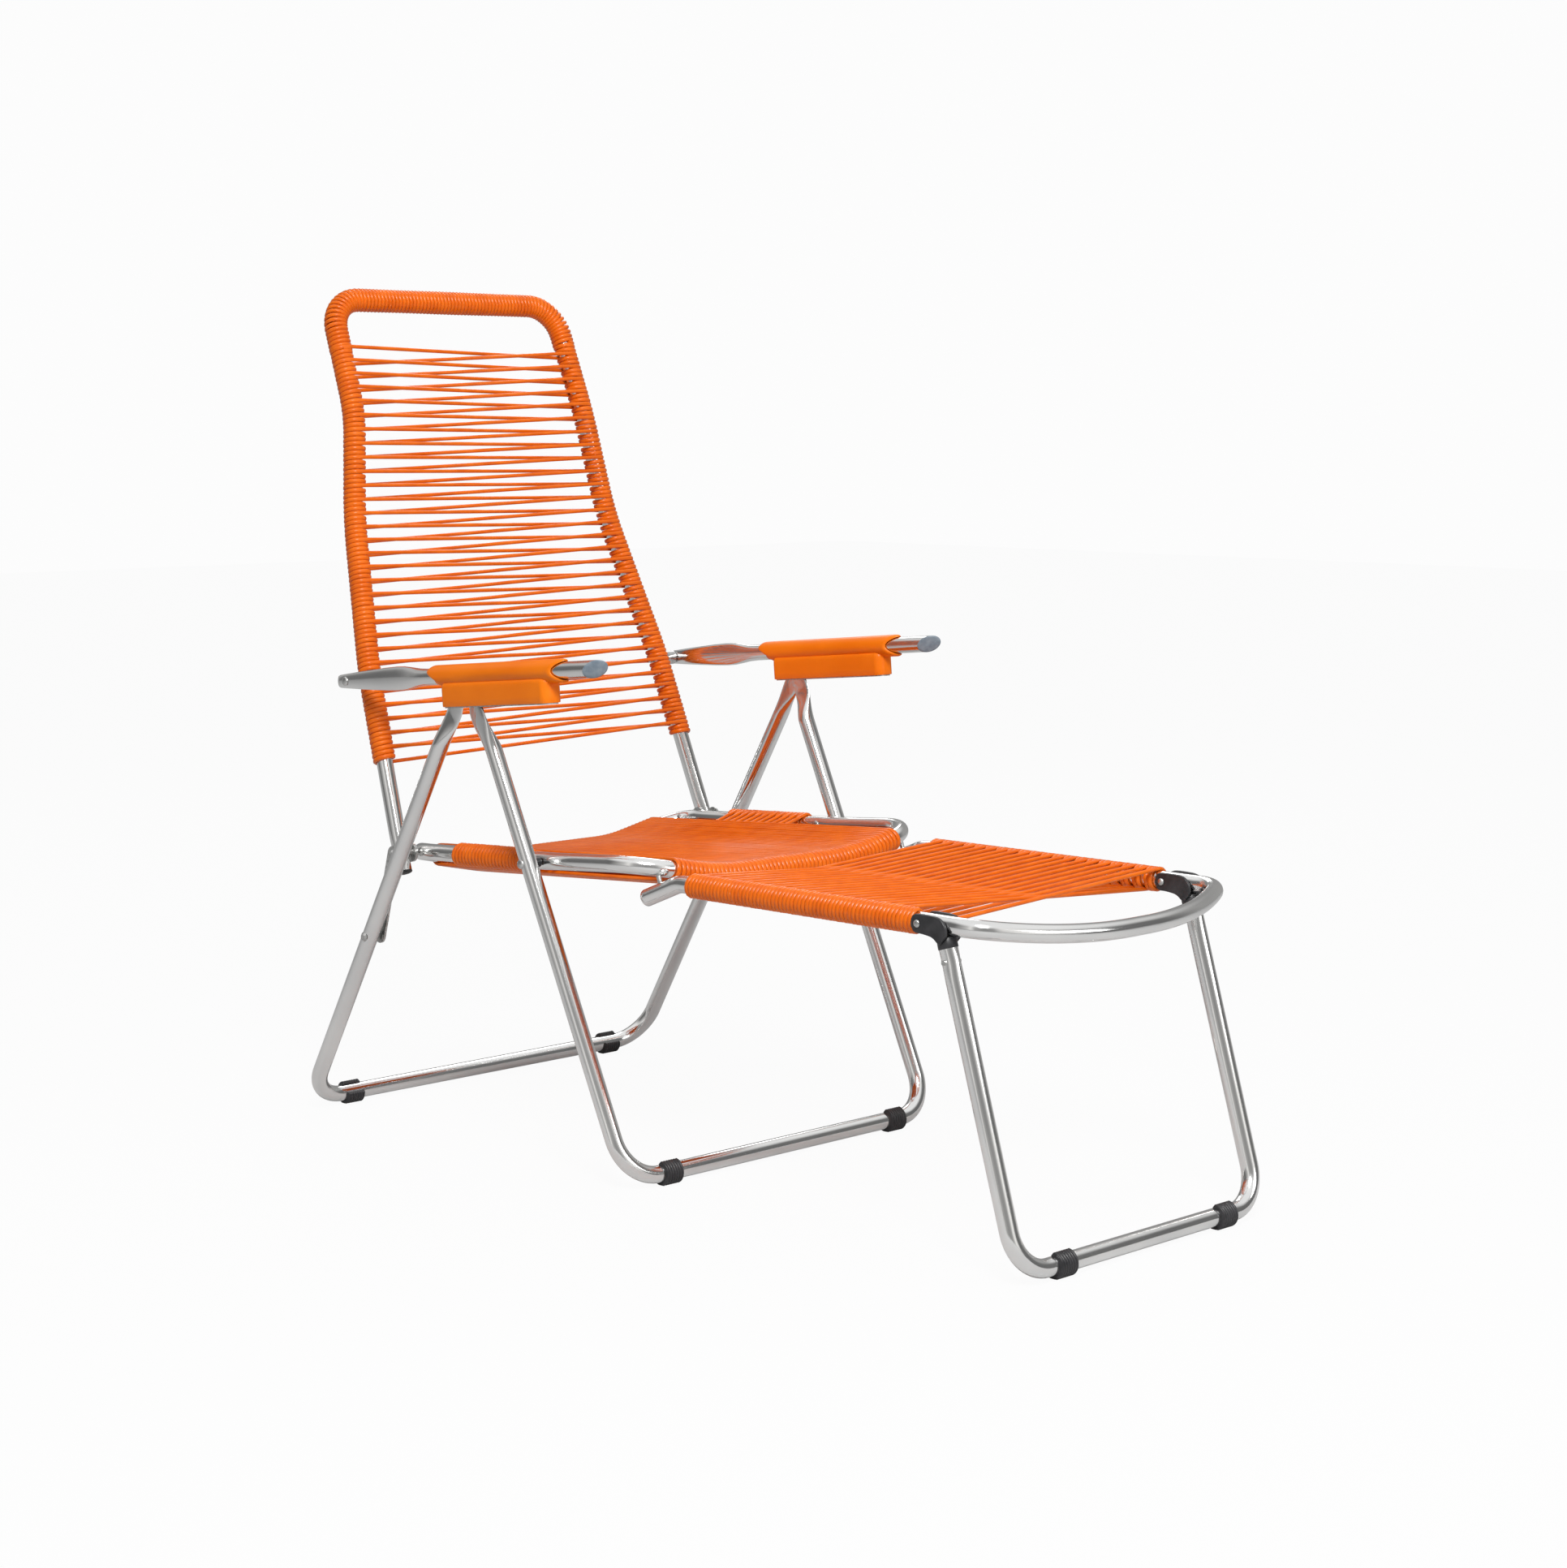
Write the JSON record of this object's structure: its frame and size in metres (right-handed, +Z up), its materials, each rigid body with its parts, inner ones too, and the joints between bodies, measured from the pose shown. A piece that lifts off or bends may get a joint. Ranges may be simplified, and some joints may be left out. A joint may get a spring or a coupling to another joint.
{
  "type": "sun lounger",
  "caption": "Folding sun lounger of bent aluminium tube strung with PVC cord, with a reclining back, ratchet armrests and a hook-on footrest on its own folding leg.",
  "frame": {"origin": "on the floor, under the middle of the whole lounger's box, footrest included", "axes": "+X is the sitter's left, -Y is the front, +Z is up"},
  "size_m": [0.6308, 1.3356, 1.1306],
  "materials": {
    "aluminium": "polished drawn tube",
    "cord": "glossy extruded PVC cord",
    "grip": "satin moulded plastic",
    "black_plastic": "matte moulded plastic",
    "cap": "matte moulded plastic",
    "zinc_steel": "zinc plated"
  },
  "bodies": {
    "front_legs": {"front_leg_frame": "aluminium", "front_foot_left": "black_plastic", "front_foot_right": "black_plastic", "seat_rivets": "zinc_steel", "ratchet_pins": "zinc_steel", "seat_bushes": "zinc_steel"},
    "rear_legs": {"rear_leg_frame": "aluminium", "rear_foot_left": "black_plastic", "rear_foot_right": "black_plastic", "rear_leg_rivets": "zinc_steel"},
    "seat": {"seat_frame": "aluminium", "seat_front_winding": "cord", "seat_rear_winding": "cord", "seat_cords_top": "cord", "seat_cords_bottom": "cord", "seat_cross_cords": "cord", "seat_wrap_left": "cord", "seat_wrap_right": "cord", "footrest_studs": "zinc_steel"},
    "back_hinge": {"back_hinge_rivets": "zinc_steel"},
    "backrest": {"backrest_frame": "aluminium", "back_winding_left": "cord", "back_winding_right": "cord", "back_winding_top": "cord", "back_cords_level": "cord", "back_cords_return": "cord", "post_plugs": "black_plastic"},
    "link_left": {"link_plate_left": "zinc_steel", "link_stub_left": "zinc_steel"},
    "link_right": {"link_plate_right": "zinc_steel", "link_stub_right": "zinc_steel"},
    "arm_hinge_left": {"arm_hinge_left": "zinc_steel"},
    "arm_hinge_right": {"arm_hinge_right": "zinc_steel"},
    "arm_left": {"arm_tube_left": "aluminium", "arm_cap_left": "cap", "arm_housing_left": "grip", "arm_rack_left": "zinc_steel"},
    "arm_right": {"arm_tube_right": "aluminium", "arm_cap_right": "cap", "arm_housing_right": "grip", "arm_rack_right": "zinc_steel"},
    "footrest": {"footrest_frame": "aluminium", "footrest_winding_left": "cord", "footrest_winding_right": "cord", "footrest_cords_top": "cord", "footrest_cords_low": "cord", "footrest_rivets": "zinc_steel"},
    "footrest_leg": {"footrest_leg_frame": "aluminium", "footrest_foot_left": "black_plastic", "footrest_foot_right": "black_plastic", "footrest_leg_rivets": "zinc_steel", "hinge_head_left": "black_plastic", "hinge_head_right": "black_plastic"}
  },
  "joints": [
    {"name": "fold", "type": "hinge", "parent": "front_legs", "child": "seat", "pos_m": [0, 0.1345, 0.3929], "axis": [-1, 0, 0], "range_deg": [0, 95]},
    {"name": "recline", "type": "hinge", "parent": "back_hinge", "child": "backrest", "pos_m": [0, 0.4037, 0.3766], "axis": [-1, 0, 0], "range_deg": [0, 30]},
    {"name": "footrest_pull", "type": "slide", "parent": "seat", "child": "footrest", "axis": [0, -0.927, 0.375], "range_m": [0, 0.09]},
    {"name": "footrest_leg_fold", "type": "hinge", "parent": "footrest", "child": "footrest_leg", "pos_m": [0, -0.5051, 0.3916], "axis": [1, 0, 0], "range_deg": [0, 95]},
    {"name": "rear_leg_fold", "type": "hinge", "parent": "front_legs", "child": "rear_legs", "pos_m": [0, 0.2321, 0.606], "axis": [-1, 0, 0], "range_deg": [0, 54.79]},
    {"name": "back_fold", "type": "hinge", "parent": "seat", "child": "back_hinge", "pos_m": [0, 0.4037, 0.3766], "axis": [-1, 0, 0], "range_deg": [-92.14, 0]},
    {"name": "link_fold_left", "type": "hinge", "parent": "seat", "child": "link_left", "pos_m": [0, 0.4037, 0.3766], "axis": [-1, 0, 0], "range_deg": [0, 89.96]},
    {"name": "arm_tilt_left", "type": "hinge", "parent": "backrest", "child": "arm_hinge_left", "pos_m": [0, 0.4945, 0.6019], "axis": [-1, 0, 0], "range_deg": [-19.85, 0]},
    {"name": "arm_fold_left", "type": "hinge", "parent": "arm_hinge_left", "child": "arm_left", "pos_m": [0, 0.4945, 0.6019], "axis": [-1, 0, 0], "range_deg": [0, 95.21]},
    {"name": "link_fold_right", "type": "hinge", "parent": "seat", "child": "link_right", "pos_m": [0, 0.4037, 0.3766], "axis": [-1, 0, 0], "range_deg": [0, 89.96]},
    {"name": "arm_tilt_right", "type": "hinge", "parent": "backrest", "child": "arm_hinge_right", "pos_m": [0, 0.4945, 0.6019], "axis": [-1, 0, 0], "range_deg": [-19.85, 0]},
    {"name": "arm_fold_right", "type": "hinge", "parent": "arm_hinge_right", "child": "arm_right", "pos_m": [0, 0.4945, 0.6019], "axis": [-1, 0, 0], "range_deg": [0, 95.21]}
  ],
  "couplings": [
    {"joint": "rear_leg_fold", "follows": "fold", "ratio": 0.57626},
    {"joint": "back_fold", "follows": "fold", "ratio": -0.9694},
    {"joint": "link_fold_left", "follows": "fold", "ratio": 0.94641},
    {"joint": "arm_tilt_left", "follows": "recline", "ratio": -0.66},
    {"joint": "arm_fold_left", "follows": "fold", "ratio": 1.0017},
    {"joint": "link_fold_right", "follows": "fold", "ratio": 0.94641},
    {"joint": "arm_tilt_right", "follows": "recline", "ratio": -0.66},
    {"joint": "arm_fold_right", "follows": "fold", "ratio": 1.0017}
  ]
}
